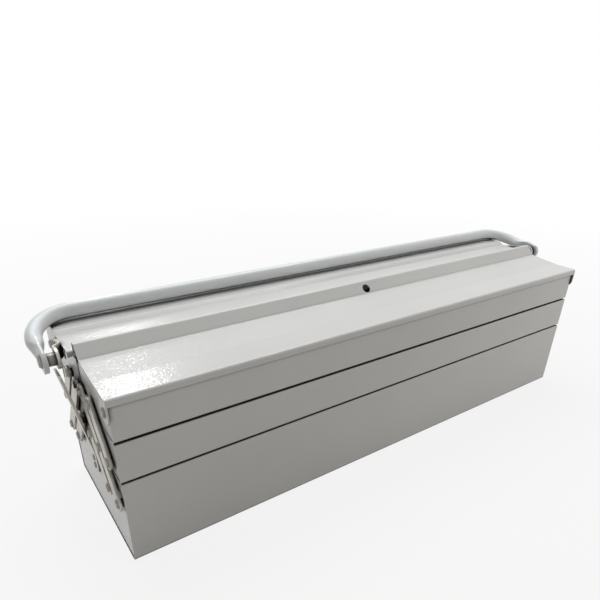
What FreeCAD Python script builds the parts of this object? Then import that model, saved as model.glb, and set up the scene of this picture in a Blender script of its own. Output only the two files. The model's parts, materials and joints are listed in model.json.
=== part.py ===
import FreeCAD, Part
import os
from math import atan2, cos, degrees, hypot, pi, tan

os.makedirs("parts", exist_ok=True)
V = FreeCAD.Vector
X_AXIS = V(1, 0, 0)

# Cantilever tool box: a base, two lower trays, two upper trays, two lids and
# one folding tube handle. +X runs along the length, -Y is the front, +Z is up,
# and the origin is the middle of the underside. Sizes are in millimetres.

# Body
box_length = 550.0          # over the edges of the long walls
box_width = 143.4           # over the front and rear walls
base_height = 75.3
tray_height = 33.8
top_tray_height = 33.2
lower_seam = 0.6            # gap between the base rim and the lower trays
upper_seam = 1.0            # gap between the lower and upper trays
centre_gap = 1.5            # gap between front and rear trays
sheet = 1.0
fold_radius = 2.0           # middle of the sheet
hem_depth = 7.0
hem_radius = 0.6
hem_gap = 0.4               # hems stop short of the end flanges
end_recess = 0.4            # end panels sit inside the wall edges
end_flange = 9.0
bore_reach = 4.0            # hole cutters pass this far to each side of a sheet

# Lids
lip_reach = 2.3             # lid lip stands out past the wall
lip_cover = 2.9             # lip hangs below the rim
lid_gap = 1.7               # lid over the rim, so that the rim clears the lid as it turns
front_lid_overhang = 1.2    # past the wall edges at each end
rear_lid_overhang = 5.2
edge_radius = 1.6
crease_inset = 24.7         # from the front wall to the crease
crease_rise = 0.6
crease_radius = 30.0
step_foot_y = -15.9
step_foot_rise = 4.4
step_top_y = -6.3
step_height = 9.7
step_radius = 2.2
ridge_width = 4.3
ridge_round = 0.67          # ridge radius, as a share of its width
front_hem = 7.7
front_flange_stop = 1.1     # end flanges of the front lid end in front of the step
rear_flange_start_y = 12.0
lid_split = 1.5             # gap between the two lids
rear_lip = 4.0
rear_strip_rise = 5.9       # near edge of the rear lid over its far edge
rear_strip_slope = 0.5
rear_bead_y = 32.3
rear_bead_rise = 2.6
rear_bead_run = 4.5
bead_radius = 1.5
rear_flat_end_y = 64.0
rear_slope_radius = 6.0
flange_cover = 1.9          # end flanges hang below the rim
lock_hole_radius = 4.5
lock_hole_drop = 1.2        # below the middle of the step
lid_pivot_inset = 6.2       # from the wall face
lid_pivot_drop = 10.4       # below the rim

# Linkage
link_pitch = 22.0           # between parallel arms
stage_rise = 34.0           # from one tray's pivots up to the next
base_pivot_inset = 7.7      # from the front wall
base_pivot_drop = 21.3      # below the base rim
top_pivot_y = 6.9           # from the middle of the box
arm_half_width = 6.0
arm_thick = 2.0
arm_gap = 1.2               # arms clear the wall edges
side_play = 0.1
fit = 0.05                  # running clearance on the radius
stud_radius = 3.4
shank_radius = 2.0
head_radius = 4.0
head_height = 1.5
head_taper = 0.7            # top of a rivet head, as a share of its foot

# Handle
tube_radius = 6.3
tube_y = 56.5               # folded tube, lying on the rear lid
rest_gap = 0.2
handle_pivot_y = 0.0
handle_pivot_rise = 5.6     # over the upper rim
leg_offset = 21.5           # tube middle past the wall edges
bend_radius = 34.0
press_share = 0.7           # of the straight leg, from round tube to flat blade
press_steps = 4
blade_thick = 3.6
blade_half_height = 9.2
blade_round = 9.6
flat_corner = 0.93          # corner of the pressed section, as a share of its half thickness
flat_crown = 0.75
handle_shank = 3.0
handle_head = 5.5
handle_head_height = 1.8
bush_radius = 5.0
bush_length = 6.4

# Handle brackets, joggled straps on the end flanges of the rear lid
bracket_thick = 2.0
bracket_fold = 4.0
bracket_eye = 8.0
bracket_jog_y = (8.5, 16.5)
bracket_foot_y = 34.5
bracket_margin = 0.6        # foot inside the edges of the lid flange
bracket_rivet_y = (22.0, 30.0)
rivet_radius = 1.6
rivet_head = 2.9
rivet_head_height = 1.1

# Handle posts, on the end panels of the base
post_thick = 2.0
post_half_width = 9.0
post_foot_drop = 33.3       # below the base rim
post_rivet_drops = (27.3, 19.7)
post_bend_drop = 11.3
post_bend_radius = 8.0
post_inset = 5.0            # post inside the handle leg, at the height of the pivot
post_stop = 10.8            # top of the post below the pivot
post_corner = 2.0

# Derived levels
half_len = box_length / 2
half_wid = box_width / 2
lower_z = base_height + lower_seam
lower_rim = lower_z + tray_height
upper_z = lower_rim + upper_seam
upper_rim = upper_z + top_tray_height
flange_low = upper_rim - flange_cover
end_face = half_len - end_recess
arm_in = half_len + arm_gap
arm_out = arm_in + arm_thick
base_pivot = (half_wid - base_pivot_inset, base_height - base_pivot_drop)
stage_y = (base_pivot[0] - top_pivot_y) / 2
lid_pivot = (half_wid - lid_pivot_inset, upper_rim - lid_pivot_drop)
round_corner = cos(pi / 4)
ends = {"left": -1, "right": 1}
sides = {"front": -1, "rear": 1}


def in_yz(x):
    return lambda p: V(x, p[0], p[1])


def in_xy(z):
    return lambda p: V(p[0], p[1], z)


def in_xz(y):
    return lambda p: V(p[0], y, p[1])


def unit(a, b):
    size = hypot(b[0] - a[0], b[1] - a[1])
    return ((b[0] - a[0]) / size, (b[1] - a[1]) / size)


def face_line(path, radii, shift, place):
    """Edges of one face of a folded sheet, shifted left of its middle line."""
    dirs = [unit(a, b) for a, b in zip(path, path[1:])]

    def moved(p, d):
        return (p[0] - d[1] * shift, p[1] + d[0] * shift)

    edges = []
    last = moved(path[0], dirs[0])
    for corner, d1, d2, radius in zip(path[1:-1], dirs, dirs[1:], radii):
        turn = atan2(d1[0] * d2[1] - d1[1] * d2[0], d1[0] * d2[0] + d1[1] * d2[1])
        hand = 1 if turn > 0 else -1
        reach = radius * tan(abs(turn) / 2)
        a = (corner[0] - d1[0] * reach, corner[1] - d1[1] * reach)
        b = (corner[0] + d2[0] * reach, corner[1] + d2[1] * reach)
        c = (a[0] - d1[1] * radius * hand, a[1] + d1[0] * radius * hand)
        out = unit(c, corner)
        size = radius - shift * hand
        mid = (c[0] + out[0] * size, c[1] + out[1] * size)
        start = moved(a, d1)
        stop = moved(b, d2)
        if hypot(start[0] - last[0], start[1] - last[1]) > 1e-6:
            edges.append(Part.makeLine(place(last), place(start)))
        edges.append(Part.Arc(place(start), place(mid), place(stop)).toShape())
        last = stop
    finish = moved(path[-1], dirs[-1])
    edges.append(Part.makeLine(place(last), place(finish)))
    return edges, moved(path[0], dirs[0]), finish


def folded(path, radii, thick, place, along):
    """A sheet folded along a middle line and carried along a straight run."""
    one, one_a, one_b = face_line(path, radii, thick / 2, place)
    two, two_a, two_b = face_line(path, radii, -thick / 2, place)
    caps = [Part.makeLine(place(one_a), place(two_a)), Part.makeLine(place(one_b), place(two_b))]
    wire = Part.Wire(Part.__sortEdges__(one + two + caps))
    return Part.Face(wire).extrude(along)


def prism(edges, along):
    return Part.Face(Part.Wire(Part.__sortEdges__(edges))).extrude(along)


def rounded_edges(y0, y1, z0, z1, radius, x):
    """Rounded rectangle in the plane of an end panel."""
    k = radius * (1 - round_corner)
    place = in_yz(x)
    runs = [((y0 + radius, z0), (y1 - radius, z0)), ((y1, z0 + radius), (y1, z1 - radius)),
            ((y1 - radius, z1), (y0 + radius, z1)), ((y0, z1 - radius), (y0, z0 + radius))]
    mids = [(y1 - k, z0 + k), (y1 - k, z1 - k), (y0 + k, z1 - k), (y0 + k, z0 + k)]
    edges = [Part.makeLine(place(a), place(b)) for a, b in runs]
    for i, mid in enumerate(mids):
        a = runs[i][1]
        b = runs[(i + 1) % 4][0]
        edges.append(Part.Arc(place(a), place(mid), place(b)).toShape())
    return edges


def block(x, y, z):
    return Part.makeBox(x[1] - x[0], y[1] - y[0], z[1] - z[0], V(x[0], y[0], z[0]))


def bore(radius, s, x, y, z):
    """Cutter along X for a hole in the sheet at x."""
    return Part.makeCylinder(radius, 2 * bore_reach, V(s * (x - bore_reach), y, z), V(s, 0, 0))


def save(name, shape):
    shape.exportStep("parts/" + name + ".step")


def trough(y0, y1, z0, rim):
    """Front wall, floor and rear wall of one compartment, with hemmed rims."""
    half = sheet / 2
    top = rim - half
    tip = rim - hem_depth
    inner = 2 * hem_radius
    path = [(y0 + half + inner, tip), (y0 + half + inner, top), (y0 + half, top), (y0 + half, z0 + half),
            (y1 - half, z0 + half), (y1 - half, top), (y1 - half - inner, top), (y1 - half - inner, tip)]
    radii = [hem_radius, hem_radius, fold_radius, fold_radius, hem_radius, hem_radius]
    shell = folded(path, radii, sheet, in_yz(-half_len), V(box_length, 0, 0))
    stop = end_face - end_flange - hem_gap
    for s in ends.values():
        xs = sorted((s * stop, s * (half_len + sheet)))
        shell = shell.cut(block(xs, (y0 + sheet, y1 - sheet), (tip - sheet, rim + sheet)))
    return shell


def end_panel(y0, y1, z0, rim, s, holes):
    """Flanged end, seated inside its trough; holes take the studs and rivets."""
    radius = fold_radius - sheet / 2
    a, b, low = y0 + sheet, y1 - sheet, z0 + sheet
    depth = V(-s * end_flange, 0, 0)
    skin = prism(rounded_edges(a, b, low, rim, radius, s * end_face), depth)
    inner_x = s * (end_face - sheet)
    inside = rounded_edges(a + sheet, b - sheet, low + sheet, rim - sheet, radius - sheet / 2, inner_x)
    return skin.cut([prism(inside, depth)] + [bore(size, s, end_face, y, z) for y, z, size in holes])


def turned(profile, s, y, z):
    """Turned pin: (x, radius) pairs revolved about its own axis."""
    points = [V(s * x, r, 0) for x, r in profile]
    wire = Part.makePolygon(points + [points[0]])
    pin = Part.Face(wire).revolve(V(0, 0, 0), X_AXIS, 360)
    return pin.translated(V(0, y, z))


def pivot_pin(s, y, z, inner, outer):
    """Shoulder stud set in an end panel; a piece turns on it between inner and outer."""
    back = end_face - sheet
    shoulder = inner - side_play
    head = outer + side_play
    profile = [(back, 0), (back, stud_radius), (shoulder, stud_radius), (shoulder, shank_radius),
               (head, shank_radius), (head, head_radius), (head + head_height, head_radius * head_taper),
               (head + head_height, 0)]
    return turned(profile, s, y, z)


def rivet(s, y, z, inner, outer):
    """Rivet through two sheets, flush on the inside."""
    profile = [(inner, 0), (inner, rivet_radius), (outer, rivet_radius), (outer, rivet_head),
               (outer + rivet_head_height, rivet_head * head_taper), (outer + rivet_head_height, 0)]
    return turned(profile, s, y, z)


def bar(points, s):
    """Flat arm with round ends and a hole for each pivot."""
    (y0, z0), (y1, z1) = points[0], points[-1]
    d = unit((y0, z0), (y1, z1))
    w = arm_half_width
    n = (-d[1] * w, d[0] * w)
    place = in_yz(s * arm_in)
    c = [(y0 + n[0], z0 + n[1]), (y0 - n[0], z0 - n[1]), (y1 - n[0], z1 - n[1]), (y1 + n[0], z1 + n[1])]
    edges = [Part.makeLine(place(c[1]), place(c[2])), Part.makeLine(place(c[3]), place(c[0])),
             Part.Arc(place(c[0]), place((y0 - d[0] * w, z0 - d[1] * w)), place(c[1])).toShape(),
             Part.Arc(place(c[2]), place((y1 + d[0] * w, z1 + d[1] * w)), place(c[3])).toShape()]
    arm = prism(edges, V(s * arm_thick, 0, 0))
    return arm.cut([bore(shank_radius + fit, s, arm_in, y, z) for y, z in points])


def lid(path, radii, overhang, flange_stop, side):
    """Folded lid with an end flange as far as flange_stop and a pivot ear at each end."""
    reach = half_len + overhang
    skin = folded(path, radii, sheet, in_yz(-reach), V(2 * reach, 0, 0))
    y, z = side * lid_pivot[0], lid_pivot[1]
    ear = half_wid + lip_reach - lid_pivot[0]
    flange_y = sorted((flange_stop, side * box_width))
    for s in ends.values():
        place = in_yz(s * reach)
        edges, first, last = face_line(path, radii, -side * sheet / 2, place)
        tip, near = (first, last) if side < 0 else (last, first)
        ear_out, ear_low, ear_in = (tip[0], z), (y, z - ear), (y - side * ear, z)
        edges.append(Part.makeLine(place(tip), place(ear_out)))
        edges.append(Part.Arc(place(ear_out), place(ear_low), place(ear_in)).toShape())
        under = [ear_in, (ear_in[0], flange_low), (near[0], flange_low), near]
        edges += [Part.makeLine(place(a), place(b)) for a, b in zip(under, under[1:])]
        flange = prism(edges, V(-s * sheet, 0, 0))
        xs = sorted((s * half_len / 2, s * (reach + sheet)))
        skin = skin.fuse(flange.common(block(xs, flange_y, (0, 2 * upper_rim))))
    skin = skin.cut([bore(shank_radius + fit, s, reach, y, z) for s in ends.values()])
    return skin.removeSplitter()


# Compartments
front_y = (-half_wid, -centre_gap / 2)
rear_y = (centre_gap / 2, half_wid)
pivots = {"base": [], "front_lower": [], "rear_lower": [], "front_upper": [], "rear_upper": []}


def chain(side, start, count):
    """Pivots of one arm, from its foot towards the middle of the box."""
    return [(side * (start[0] - i * stage_y), start[1] + i * stage_rise) for i in range(count)]


arms = {}
for side_name, side in sides.items():
    inner_foot = (base_pivot[0] - link_pitch, base_pivot[1])
    outer_foot = (base_pivot[0] - stage_y + link_pitch, base_pivot[1] + stage_rise)
    main = chain(side, base_pivot, 3)
    low = chain(side, inner_foot, 2)
    high = chain(side, outer_foot, 2)
    arms[side_name + "_main_arm"] = main
    arms[side_name + "_lower_link"] = low
    arms[side_name + "_upper_link"] = high
    pivots["base"] += [main[0], low[0]]
    pivots[side_name + "_lower"] += [main[1], low[1], high[0]]
    pivots[side_name + "_upper"] += [main[2], high[1]]

for name, points in arms.items():
    for end, s in ends.items():
        save(name + "_" + end, bar(points, s))

holes = {name: [(y, z, stud_radius) for y, z in points] for name, points in pivots.items()}
pins = {name: [pivot_pin(s, y, z, arm_in, arm_out) for s in ends.values() for y, z in points]
        for name, points in pivots.items()}
overhangs = {"front": front_lid_overhang, "rear": rear_lid_overhang}
for side_name, side in sides.items():
    name = side_name + "_upper"
    y, z = side * lid_pivot[0], lid_pivot[1]
    reach = half_len + overhangs[side_name]
    pins[name] += [pivot_pin(s, y, z, reach - sheet, reach) for s in ends.values()]
    holes[name].append((y, z, stud_radius))
post_rivet_z = [base_height - drop for drop in post_rivet_drops]
holes["base"] += [(handle_pivot_y, z, rivet_radius) for z in post_rivet_z]

boxes = {"base": ((-half_wid, half_wid), 0.0, base_height),
         "front_lower": (front_y, lower_z, lower_rim), "rear_lower": (rear_y, lower_z, lower_rim),
         "front_upper": (front_y, upper_z, upper_rim), "rear_upper": (rear_y, upper_z, upper_rim)}
for name, ((y0, y1), z0, rim) in boxes.items():
    save(name + "_shell", trough(y0, y1, z0, rim))
    for end, s in ends.items():
        save(name + "_end_" + end, end_panel(y0, y1, z0, rim, s, holes[name]))
    save(name + "_pivots", Part.makeCompound(pins[name]))

# Lids: the profiles follow the middle of the sheet
half = sheet / 2
edge_y = half_wid + lip_reach - half
rest_z = upper_rim + lid_gap + half
lip_low = upper_rim - lip_cover
step_z = rest_z + step_foot_rise + step_height
ridge_y = step_top_y + ridge_width
ridge_radius = ridge_round * ridge_width
front_path = [(-edge_y, lip_low), (-edge_y, rest_z), (-half_wid + crease_inset, rest_z + crease_rise),
              (step_foot_y, rest_z + step_foot_rise), (step_top_y, step_z),
              (ridge_y, step_z), (ridge_y, step_z - front_hem)]
front_radii = [edge_radius, crease_radius, step_radius, ridge_radius, ridge_radius]
front_lid = lid(front_path, front_radii, front_lid_overhang, step_foot_y - front_flange_stop, -1)
across = unit((step_foot_y, 0), (step_top_y, step_height))
hole_y = (step_foot_y + step_top_y) / 2 - across[0] * lock_hole_drop
hole_z = rest_z + step_foot_rise + step_height / 2 - across[1] * lock_hole_drop
normal = V(0, -across[1], across[0])
start = V(0, hole_y, hole_z) - normal * bore_reach
lock_hole = Part.makeCylinder(lock_hole_radius, 2 * bore_reach, start, normal)
save("front_lid", front_lid.cut(lock_hole))

near_y = ridge_y + half + lid_split + half
near_z = rest_z + rear_strip_rise
bead_z = near_z + rear_strip_slope
flat_z = bead_z + rear_bead_rise
rear_path = [(near_y, near_z - rear_lip), (near_y, near_z), (rear_bead_y, bead_z),
             (rear_bead_y + rear_bead_run, flat_z), (rear_flat_end_y, flat_z),
             (edge_y, rest_z), (edge_y, lip_low)]
rear_radii = [edge_radius, bead_radius, bead_radius, rear_slope_radius, edge_radius]
rear_lid = lid(rear_path, rear_radii, rear_lid_overhang, rear_flange_start_y, 1)
foot_in = half_len + rear_lid_overhang
foot_out = foot_in + bracket_thick
foot_low = flange_low + bracket_margin
foot_high = near_z - bracket_margin
rivet_spots = [(s, y, (foot_low + foot_high) / 2) for s in ends.values() for y in bracket_rivet_y]
rivet_holes = [bore(rivet_radius, s, foot_in, y, z) for s, y, z in rivet_spots]
rivets = [rivet(s, y, z, foot_in - sheet, foot_out) for s, y, z in rivet_spots]
save("rear_lid", rear_lid.cut(rivet_holes))
save("bracket_rivets", Part.makeCompound(rivets))

# Handle brackets: each has an eye for the handle pivot, standing clear of the lids
handle_pivot_z = upper_rim + handle_pivot_rise
leg_x = half_len + leg_offset
blade_in = leg_x - blade_thick / 2
blade_out = leg_x + blade_thick / 2
bush_end = blade_in - side_play
eye_out = bush_end - bush_length
eye_in = eye_out - bracket_thick
eye_top = handle_pivot_z + bracket_eye
eye_low = handle_pivot_z - bracket_eye
jog_start, jog_end = bracket_jog_y
for end, s in ends.items():
    foot_mid = s * (foot_in + foot_out) / 2
    eye_mid = s * (eye_in + eye_out) / 2
    path = [(foot_mid, bracket_foot_y), (foot_mid, jog_end), (eye_mid, jog_start),
            (eye_mid, handle_pivot_y - 2 * bracket_eye)]
    radii = [bracket_fold, bracket_fold]
    strap = folded(path, radii, bracket_thick, in_xy(eye_low), V(0, 0, 2 * bracket_eye))
    place = in_yz(s * foot_in)
    outline = [(handle_pivot_y, eye_low), (bracket_foot_y, foot_low), (bracket_foot_y, foot_high),
               (handle_pivot_y, eye_top)]
    edges = [Part.makeLine(place(a), place(b)) for a, b in zip(outline, outline[1:])]
    tip = (handle_pivot_y - bracket_eye, handle_pivot_z)
    edges.append(Part.Arc(place(outline[-1]), place(tip), place(outline[0])).toShape())
    strap = strap.common(prism(edges, V(s * (eye_out - foot_in), 0, 0)))
    eye = bore(handle_shank, s, eye_in, handle_pivot_y, handle_pivot_z)
    save("handle_bracket_" + end, strap.cut(rivet_holes + [eye]))

# Handle pivots: a pin in the eye of the bracket, with a bush and a head
head_start = blade_out + side_play
head_end = head_start + handle_head_height
pin = [(eye_in, 0), (eye_in, handle_shank), (eye_out, handle_shank), (eye_out, bush_radius),
       (bush_end, bush_radius), (bush_end, handle_shank), (head_start, handle_shank),
       (head_start, handle_head), (head_end, handle_head * head_taper), (head_end, 0)]
handle_pins = [turned(pin, s, handle_pivot_y, handle_pivot_z) for s in ends.values()]
save("handle_pivots", Part.makeCompound(handle_pins))

# Handle posts: straps riveted to the base, leaning out below the eyes of the handle
foot_mid = end_face + post_thick / 2
post_low = base_height - post_foot_drop
post_bend = base_height - post_bend_drop
post_high = handle_pivot_z - post_stop
post_lean = (leg_x - post_inset - foot_mid) / (handle_pivot_z - post_bend)
post_top_x = leg_x - post_inset
round_z = post_low + post_half_width
corner_z = post_high - post_corner
front_edge = handle_pivot_y - post_half_width
rear_edge = handle_pivot_y + post_half_width
for end, s in ends.items():
    path = [(s * foot_mid, post_low), (s * foot_mid, post_bend),
            (s * post_top_x, handle_pivot_z)]
    strap = folded(path, [post_bend_radius], post_thick, in_xz(front_edge), V(0, 2 * post_half_width, 0))
    place = in_yz(s * end_face)
    rim = [(front_edge, round_z), (front_edge, corner_z), (front_edge + post_corner, post_high),
           (rear_edge - post_corner, post_high), (rear_edge, corner_z), (rear_edge, round_z)]
    edges = [Part.makeLine(place(a), place(b)) for a, b in zip(rim, rim[1:])]
    tip = (handle_pivot_y, post_low)
    edges.append(Part.Arc(place(rim[-1]), place(tip), place(rim[0])).toShape())
    strap = strap.common(prism(edges, V(s * leg_offset, 0, 0)))
    rivet_holes = [bore(rivet_radius, s, end_face, handle_pivot_y, z) for z in post_rivet_z]
    save("handle_post_" + end, strap.cut(rivet_holes))
rivets = [rivet(s, handle_pivot_y, z, end_face - sheet, end_face + post_thick)
          for s in ends.values() for z in post_rivet_z]
save("post_rivets", Part.makeCompound(rivets))


# Handle: a round tube bent to a U, its ends pressed flat. It lies on the rear
# lid, touching first where the bends cross the ends of the lid. It is drawn level
# with its pivot at the origin, then tipped to the folded position.
bend_reach = foot_in - (leg_x - bend_radius)
bend_sag = bend_radius - (bend_radius ** 2 - bend_reach ** 2) ** 0.5
rest_level = flat_z + half + rest_gap + tube_radius
leg_slope = (rest_level - handle_pivot_z) / (tube_y - handle_pivot_y)
tube_z = rest_level + bend_sag * leg_slope
pitch = atan2(tube_z - handle_pivot_z, tube_y - handle_pivot_y)
leg = hypot(tube_z - handle_pivot_z, tube_y - handle_pivot_y)


def leg_section(y, s, ease):
    """Outline across a leg: round where ease is 0, pressed flat where it is 1."""
    wide = tube_radius + (blade_thick / 2 - tube_radius) * ease
    tall = tube_radius + (blade_half_height - tube_radius) * ease
    side = wide * (round_corner + (flat_corner - round_corner) * ease)
    rise = tall - wide * (1 - round_corner + (flat_crown - 1 + round_corner) * ease)
    outline = [(leg_x + side, -rise), (leg_x + wide, 0), (leg_x + side, rise), (leg_x, tall),
               (leg_x - side, rise), (leg_x - wide, 0), (leg_x - side, -rise), (leg_x, -tall)]
    p = [V(s * x, y, z) for x, z in outline]
    return Part.Wire([Part.Arc(p[i], p[i + 1], p[(i + 2) % 8]).toShape() for i in (0, 2, 4, 6)])


flat_start = leg - bend_radius
flat_end = flat_start * (1 - press_share)
k = bend_radius * (1 - round_corner)
straight_x = leg_x - bend_radius
bends = {s: [V(s * leg_x, flat_start, 0), V(s * (leg_x - k), leg - k, 0), V(s * straight_x, leg, 0)]
         for s in ends.values()}
spine = [Part.Arc(*bends[-1]).toShape(), Part.makeLine(bends[-1][2], bends[1][2]),
         Part.Arc(*bends[1][::-1]).toShape()]
ring = Part.Wire(Part.makeCircle(tube_radius, bends[-1][0], V(0, 1, 0)))
handle = Part.Wire(spine).makePipeShell([ring], True, False)
for s in ends.values():
    sections = []
    for i in range(press_steps):
        share = i / (press_steps - 1)
        ease = share * share * (3 - 2 * share)
        sections.append(leg_section(flat_start + (flat_end - flat_start) * share, s, ease))
    handle = handle.fuse(Part.makeLoft(sections, True, False))
    blade = Part.Face(sections[-1]).extrude(V(0, -flat_end - blade_round, 0))
    xs = sorted((s * (leg_x - bore_reach), s * (leg_x + bore_reach)))
    straight = block(xs, (0, flat_start), (-blade_round, blade_round))
    blade = blade.common(straight.fuse(bore(blade_round, s, leg_x, 0, 0)))
    handle = handle.fuse(blade.cut(bore(handle_shank + fit, s, leg_x, 0, 0)))
handle.rotate(V(0, 0, 0), X_AXIS, degrees(pitch))
save("handle", handle.translated(V(0, handle_pivot_y, handle_pivot_z)))
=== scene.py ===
import json
import math
import bpy
from mathutils import Matrix, Vector


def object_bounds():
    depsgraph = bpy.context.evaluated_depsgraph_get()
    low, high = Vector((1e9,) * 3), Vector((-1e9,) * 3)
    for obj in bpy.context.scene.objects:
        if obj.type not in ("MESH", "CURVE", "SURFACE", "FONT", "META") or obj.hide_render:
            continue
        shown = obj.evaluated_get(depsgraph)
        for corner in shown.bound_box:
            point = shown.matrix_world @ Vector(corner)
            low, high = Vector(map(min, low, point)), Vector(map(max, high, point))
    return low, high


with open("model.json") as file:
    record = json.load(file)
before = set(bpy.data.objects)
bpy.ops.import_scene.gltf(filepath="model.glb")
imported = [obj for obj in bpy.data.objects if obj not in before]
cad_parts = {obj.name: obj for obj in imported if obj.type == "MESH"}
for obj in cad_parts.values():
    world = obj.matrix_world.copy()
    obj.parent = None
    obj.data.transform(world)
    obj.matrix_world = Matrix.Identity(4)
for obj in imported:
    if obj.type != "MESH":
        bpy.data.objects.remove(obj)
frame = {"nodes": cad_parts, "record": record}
cad_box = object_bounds()
scene = bpy.context.scene
nodes = frame["nodes"]

# Camera, fitted to the photograph's edges (metres, degrees, image pixels)
image_size = 600
camera_place = Vector((-0.3395, -0.3742, 0.3195))
camera_azimuth = -35.76
camera_elevation = 28.81
camera_roll = 1.37
near_clip = 0.01
focal_px = 516.24
principal_px = (299.43, 380.68)
sensor_mm = 36.0

# Paint, metal, floor and light, in linear colour
enamel_colour = (0.62, 0.615, 0.60)
tube_colour = (0.70, 0.72, 0.73)
zinc_colour = (0.62, 0.59, 0.53)
rivet_colour = (0.36, 0.34, 0.31)
floor_colour = (0.56, 0.55, 0.53)
white = (1.0, 1.0, 1.0)
cool_white = (0.96, 0.99, 1.0)
warm_white = (1.0, 0.96, 0.9)

# Seams and gaps, where shade is painted into the colour: how near another face has to be to darken them
# (metres), the occlusion values that count as closed and open, and the part of the colour that is left
# where they are closed
painted_shade_reach = 0.0038
painted_shade_closed = 0.6
painted_shade_open = 0.98
painted_shade_samples = 8
enamel_in_painted_shade = 0.07
plating_in_painted_shade = 0.06

# Patterns, in waves per metre, and the heights of the bumps, in metres
cloud_scale = 7.0
gloss_scale = 420.0
peel_scale = 400.0
peel_height = 0.0004
ripple_scale = 260.0
ripple_height = 0.0005
mottle_scale = 90.0
wear_scale = 300.0
grain_scale = 500.0
grain_stretch = (0.2, 1.0, 1.0)
grain_height = 0.0002
paper_scale = 3.0

# Floor: half its side and its drop below the box (metres), and the share of plain white that is
# seen in it within the near distance and beyond the far one
floor_half = 12.0
floor_drop = 0.0002
white_near = 0.86
white_far = 1.0
near_distance = 0.3
far_distance = 1.3

world_strength = 0.2


def place_camera():
    azimuth = math.radians(camera_azimuth)
    elevation = math.radians(camera_elevation)
    roll = math.radians(camera_roll)
    back = Vector((math.sin(azimuth) * math.cos(elevation), -math.cos(azimuth) * math.cos(elevation),
                   math.sin(elevation)))
    right = (-back).cross(Vector((0, 0, 1))).normalized()
    up = back.cross(right)
    turned_right = right * math.cos(roll) + up * math.sin(roll)
    turned_up = up * math.cos(roll) - right * math.sin(roll)
    data = bpy.data.cameras.new("camera")
    data.sensor_fit = "HORIZONTAL"
    data.sensor_width = sensor_mm
    data.lens = focal_px / image_size * sensor_mm
    data.shift_x = 0.5 - principal_px[0] / image_size
    data.shift_y = principal_px[1] / image_size - 0.5
    data.clip_start = near_clip
    camera = bpy.data.objects.new("camera", data)
    turn = Matrix((turned_right, turned_up, back)).transposed()
    camera.matrix_world = Matrix.Translation(camera_place) @ turn.to_4x4()
    scene.collection.objects.link(camera)
    scene.camera = camera


def tinted(colour, share=1.0):
    """A share of a colour, as the four values of a colour socket."""
    return [c * share for c in colour] + [1]


class Nodes:
    """Small helper that adds and links the nodes of one material."""

    def __init__(self, name):
        self.material = bpy.data.materials.new(name)
        self.material.use_nodes = True
        self.tree = self.material.node_tree
        self.shader = self.tree.nodes["Principled BSDF"]
        coordinates = self.add("ShaderNodeTexCoord")
        self.point = coordinates.outputs["Object"]
        self.normal = coordinates.outputs["Normal"]

    def add(self, kind, **values):
        node = self.tree.nodes.new(kind)
        for key, value in values.items():
            setattr(node, key, value)
        return node

    def link(self, a, b):
        self.tree.links.new(a, b)

    def noise(self, scale, detail=2.0, stretch=None):
        node = self.add("ShaderNodeTexNoise")
        node.inputs["Scale"].default_value = scale
        node.inputs["Detail"].default_value = detail
        source = self.point
        if stretch:
            mapping = self.add("ShaderNodeMapping")
            mapping.inputs["Scale"].default_value = stretch
            self.link(source, mapping.inputs["Vector"])
            source = mapping.outputs["Vector"]
        self.link(source, node.inputs["Vector"])
        return node.outputs["Fac"]

    def spread(self, value, low, high, start=0.3, end=0.7):
        """Maps a value from start..end, where most of a noise lies, to low..high."""
        node = self.add("ShaderNodeMapRange")
        node.inputs["From Min"].default_value = start
        node.inputs["From Max"].default_value = end
        node.inputs["To Min"].default_value = low
        node.inputs["To Max"].default_value = high
        self.link(value, node.inputs["Value"])
        return node.outputs["Result"]

    def shade(self, colour, dark, light, value):
        """One colour between a darker and a lighter tone."""
        mix = self.add("ShaderNodeMix", data_type="RGBA")
        mix.inputs["A"].default_value = tinted(colour, dark)
        mix.inputs["B"].default_value = tinted(colour, light)
        self.link(value, mix.inputs["Factor"])
        return mix.outputs["Result"]

    def darken(self, tone, colour, left, value):
        """The tone where the value is 1, and what is left of the colour where it is 0: painted shade
        where the value is low.
        """
        mix = self.add("ShaderNodeMix", data_type="RGBA")
        mix.inputs["A"].default_value = tinted(colour, left)
        self.link(tone, mix.inputs["B"])
        self.link(value, mix.inputs["Factor"])
        return mix.outputs["Result"]

    def painted_gap_shade(self):
        """1 on open faces, falling to 0 in seams and narrow gaps, as a mask for painted shade."""
        node = self.add("ShaderNodeAmbientOcclusion", samples=painted_shade_samples)
        node.inputs["Distance"].default_value = painted_shade_reach
        return self.spread(node.outputs["AO"], 0.0, 1.0, painted_shade_closed, painted_shade_open)

    def bump(self, pattern, strength, height):
        node = self.add("ShaderNodeBump")
        node.inputs["Strength"].default_value = strength
        node.inputs["Distance"].default_value = height
        self.link(pattern, node.inputs["Height"])
        return node.outputs["Normal"]

    def set(self, **values):
        """Links or sets inputs of the shader, named with underscores for spaces."""
        for key, value in values.items():
            socket = self.shader.inputs[key.replace("_", " ")]
            if isinstance(value, float):
                socket.default_value = value
            else:
                self.link(value, socket)


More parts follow.
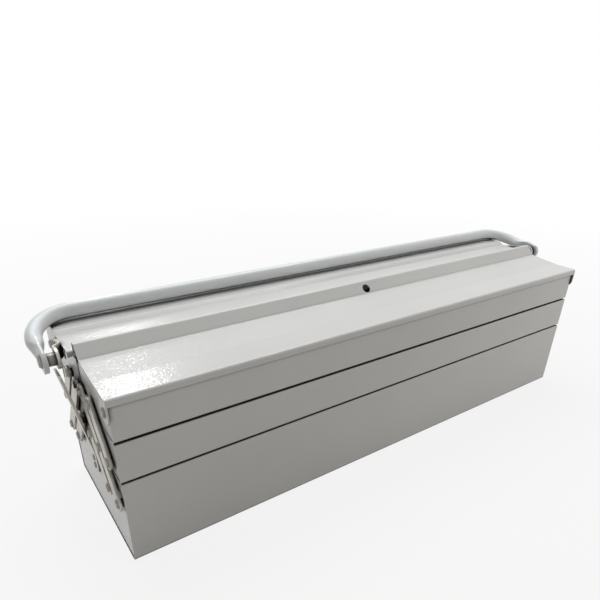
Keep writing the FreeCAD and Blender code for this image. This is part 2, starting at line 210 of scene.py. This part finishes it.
def enamel(name, colour):
    """Gloss stoved paint: orange peel, faint cloudy tone, painted shade in the gaps, where the coat's
    gloss is also faded out.
    """
    m = Nodes(name)
    cloud = m.spread(m.noise(cloud_scale, detail=3.0), low=0.0, high=1.0)
    tone = m.shade(colour, dark=0.97, light=1.03, value=cloud)
    free_of_painted_shade = m.painted_gap_shade()
    m.set(
        # Painted shade: the colour goes dark in seams and narrow gaps.
        Base_Color=m.darken(tone, colour, enamel_in_painted_shade, free_of_painted_shade),
        Roughness=m.spread(m.noise(gloss_scale), low=0.30, high=0.40),
        Specular_IOR_Level=0.25,
        Normal=m.bump(m.noise(ripple_scale), strength=0.08, height=ripple_height),
        # Painted shade on the gloss: the coat fades out in seams and narrow gaps.
        Coat_Weight=m.spread(free_of_painted_shade, low=0.0, high=0.35, start=0.0, end=1.0),
        Coat_Roughness=0.08,
        Coat_Normal=m.bump(m.noise(peel_scale, detail=1.0), strength=0.65, height=peel_height),
    )
    return m.material


def plated(name, colour, roughness, edge_painted_shade):
    """Plated steel: mottled, with painted light and shade: lightest on faces that look along X, darker
    by a factor on the edges, dark in gaps.
    """
    m = Nodes(name)
    mottle = m.spread(m.noise(mottle_scale, detail=4.0), low=0.0, high=1.0)
    tone = m.shade(colour, dark=0.75, light=1.08, value=mottle)
    wear = m.noise(wear_scale, detail=3.0)
    grain = m.noise(grain_scale, stretch=grain_stretch)
    # Painted light and shade: faces that look along X are kept light, the edges are darkened by a
    # factor, and gaps are darkened too.
    axes = m.add("ShaderNodeSeparateXYZ")
    m.link(m.normal, axes.inputs["Vector"])
    along_x = m.add("ShaderNodeMath", operation="ABSOLUTE")
    m.link(axes.outputs["X"], along_x.inputs[0])
    painted_light_and_shade = m.add("ShaderNodeMath", operation="MULTIPLY")
    m.link(m.spread(along_x.outputs[0], low=edge_painted_shade, high=1.0, start=0.3, end=0.8), painted_light_and_shade.inputs[0])
    m.link(m.painted_gap_shade(), painted_light_and_shade.inputs[1])
    m.set(
        # Painted shade in the colour, from the mask above.
        Base_Color=m.darken(tone, colour, plating_in_painted_shade, painted_light_and_shade.outputs[0]),
        Metallic=0.6,
        Roughness=m.spread(wear, low=roughness - 0.08, high=roughness + 0.1),
        Normal=m.bump(grain, strength=0.12, height=grain_height),
    )
    return m.material


def dress():
    """Gives every piece the finish of its material slot."""
    finishes = {
        "box_paint": enamel("box_enamel", enamel_colour),
        "handle_paint": enamel("tube_enamel", tube_colour),
        # The last number of each plated finish is the share of its colour left on edges under painted
        # shade.
        "arm_steel": plated("zinc_strip", zinc_colour, roughness=0.42, edge_painted_shade=0.9),
        "rivet_steel": plated("rivet_metal", rivet_colour, roughness=0.34, edge_painted_shade=0.75),
    }
    for part in frame["record"]["subparts"]:
        mesh = nodes[part["node"]].data
        if not mesh.materials:
            mesh.materials.append(None)
        for index in range(len(mesh.materials)):
            mesh.materials[index] = finishes[part["material_slot"]]


def see_white(tree, shader, share=None):
    """Mixes a share of plain white, or all of it, into what the camera, mirrors and glass see."""
    path = tree.nodes.new("ShaderNodeLightPath")
    seen = path.outputs["Is Camera Ray"]
    for kind in ("Is Glossy Ray", "Is Transmission Ray"):
        either = tree.nodes.new("ShaderNodeMath")
        either.operation = "MAXIMUM"
        tree.links.new(seen, either.inputs[0])
        tree.links.new(path.outputs[kind], either.inputs[1])
        seen = either.outputs[0]
    if share:
        part = tree.nodes.new("ShaderNodeMath")
        part.operation = "MULTIPLY"
        tree.links.new(seen, part.inputs[0])
        tree.links.new(share, part.inputs[1])
        seen = part.outputs[0]
    glow = tree.nodes.new("ShaderNodeEmission")
    glow.inputs["Color"].default_value = tinted(white)
    mix = tree.nodes.new("ShaderNodeMixShader")
    tree.links.new(seen, mix.inputs["Fac"])
    tree.links.new(shader, mix.inputs[1])
    tree.links.new(glow.outputs[0], mix.inputs[2])
    return mix.outputs[0]


def floor_paper():
    """Pale matt paper that fades to plain white away from the box."""
    m = Nodes("floor_paper")
    m.set(
        Base_Color=m.shade(floor_colour, dark=0.99, light=1.01, value=m.noise(paper_scale)),
        Roughness=0.8,
        Specular_IOR_Level=0.1,
    )
    away = m.add("ShaderNodeVectorMath", operation="LENGTH")
    m.link(m.point, away.inputs[0])
    share = m.spread(away.outputs["Value"], white_near, white_far, near_distance, far_distance)
    output = m.tree.nodes["Material Output"]
    m.link(see_white(m.tree, m.shader.outputs[0], share), output.inputs["Surface"])
    return m.material


def lay_floor():
    corners = [(x * floor_half, y * floor_half, 0) for x, y in ((-1, -1), (1, -1), (1, 1), (-1, 1))]
    mesh = bpy.data.meshes.new("floor")
    mesh.from_pydata(corners, [], [(0, 1, 2, 3)])
    mesh.materials.append(floor_paper())
    floor = bpy.data.objects.new("floor", mesh)
    floor.location.z = cad_box[0][2] - floor_drop
    scene.collection.objects.link(floor)


def light_world():
    world = bpy.data.worlds.new("studio")
    world.use_nodes = True
    tree = world.node_tree
    background = tree.nodes["Background"]
    background.inputs["Color"].default_value = tinted(white)
    background.inputs["Strength"].default_value = world_strength
    output = tree.nodes["World Output"]
    tree.links.new(see_white(tree, background.outputs[0]), output.inputs["Surface"])
    scene.world = world


def area_lamp(name, place, target, size, watts, colour):
    """A rectangular lamp at a place, turned to a target."""
    data = bpy.data.lights.new(name, "AREA")
    data.color = colour
    data.shape = "RECTANGLE"
    data.size, data.size_y = size
    data.energy = watts
    lamp = bpy.data.objects.new(name, data)
    lamp.location = place
    lamp.rotation_euler = (Vector(target) - Vector(place)).to_track_quat("-Z", "Y").to_euler()
    scene.collection.objects.link(lamp)


def light_studio():
    """A wide soft lamp above, a small one mirrored in the near lid, and a fill from each side."""
    area_lamp("overhead", place=(0.15, 0.68, 1.5), target=(0, 0, 0.1), size=(1.8, 1.0), watts=23.0,
              colour=cool_white)
    area_lamp("window", place=(0.1, 1.24, 0.92), target=(-0.21, -0.06, 0.15), size=(0.2, 0.2), watts=2.4,
              colour=white)
    area_lamp("right_fill", place=(0.85, -0.95, 0.5), target=(0.2, 0, 0.08), size=(1.3, 1.3), watts=4.9,
              colour=warm_white)
    area_lamp("left_fill", place=(-1.2, -0.6, 0.5), target=(-0.27, 0, 0.08), size=(0.7, 0.7), watts=0.7,
              colour=warm_white)


place_camera()
dress()
lay_floor()
light_world()
light_studio()
scene.view_settings.view_transform = "Standard"
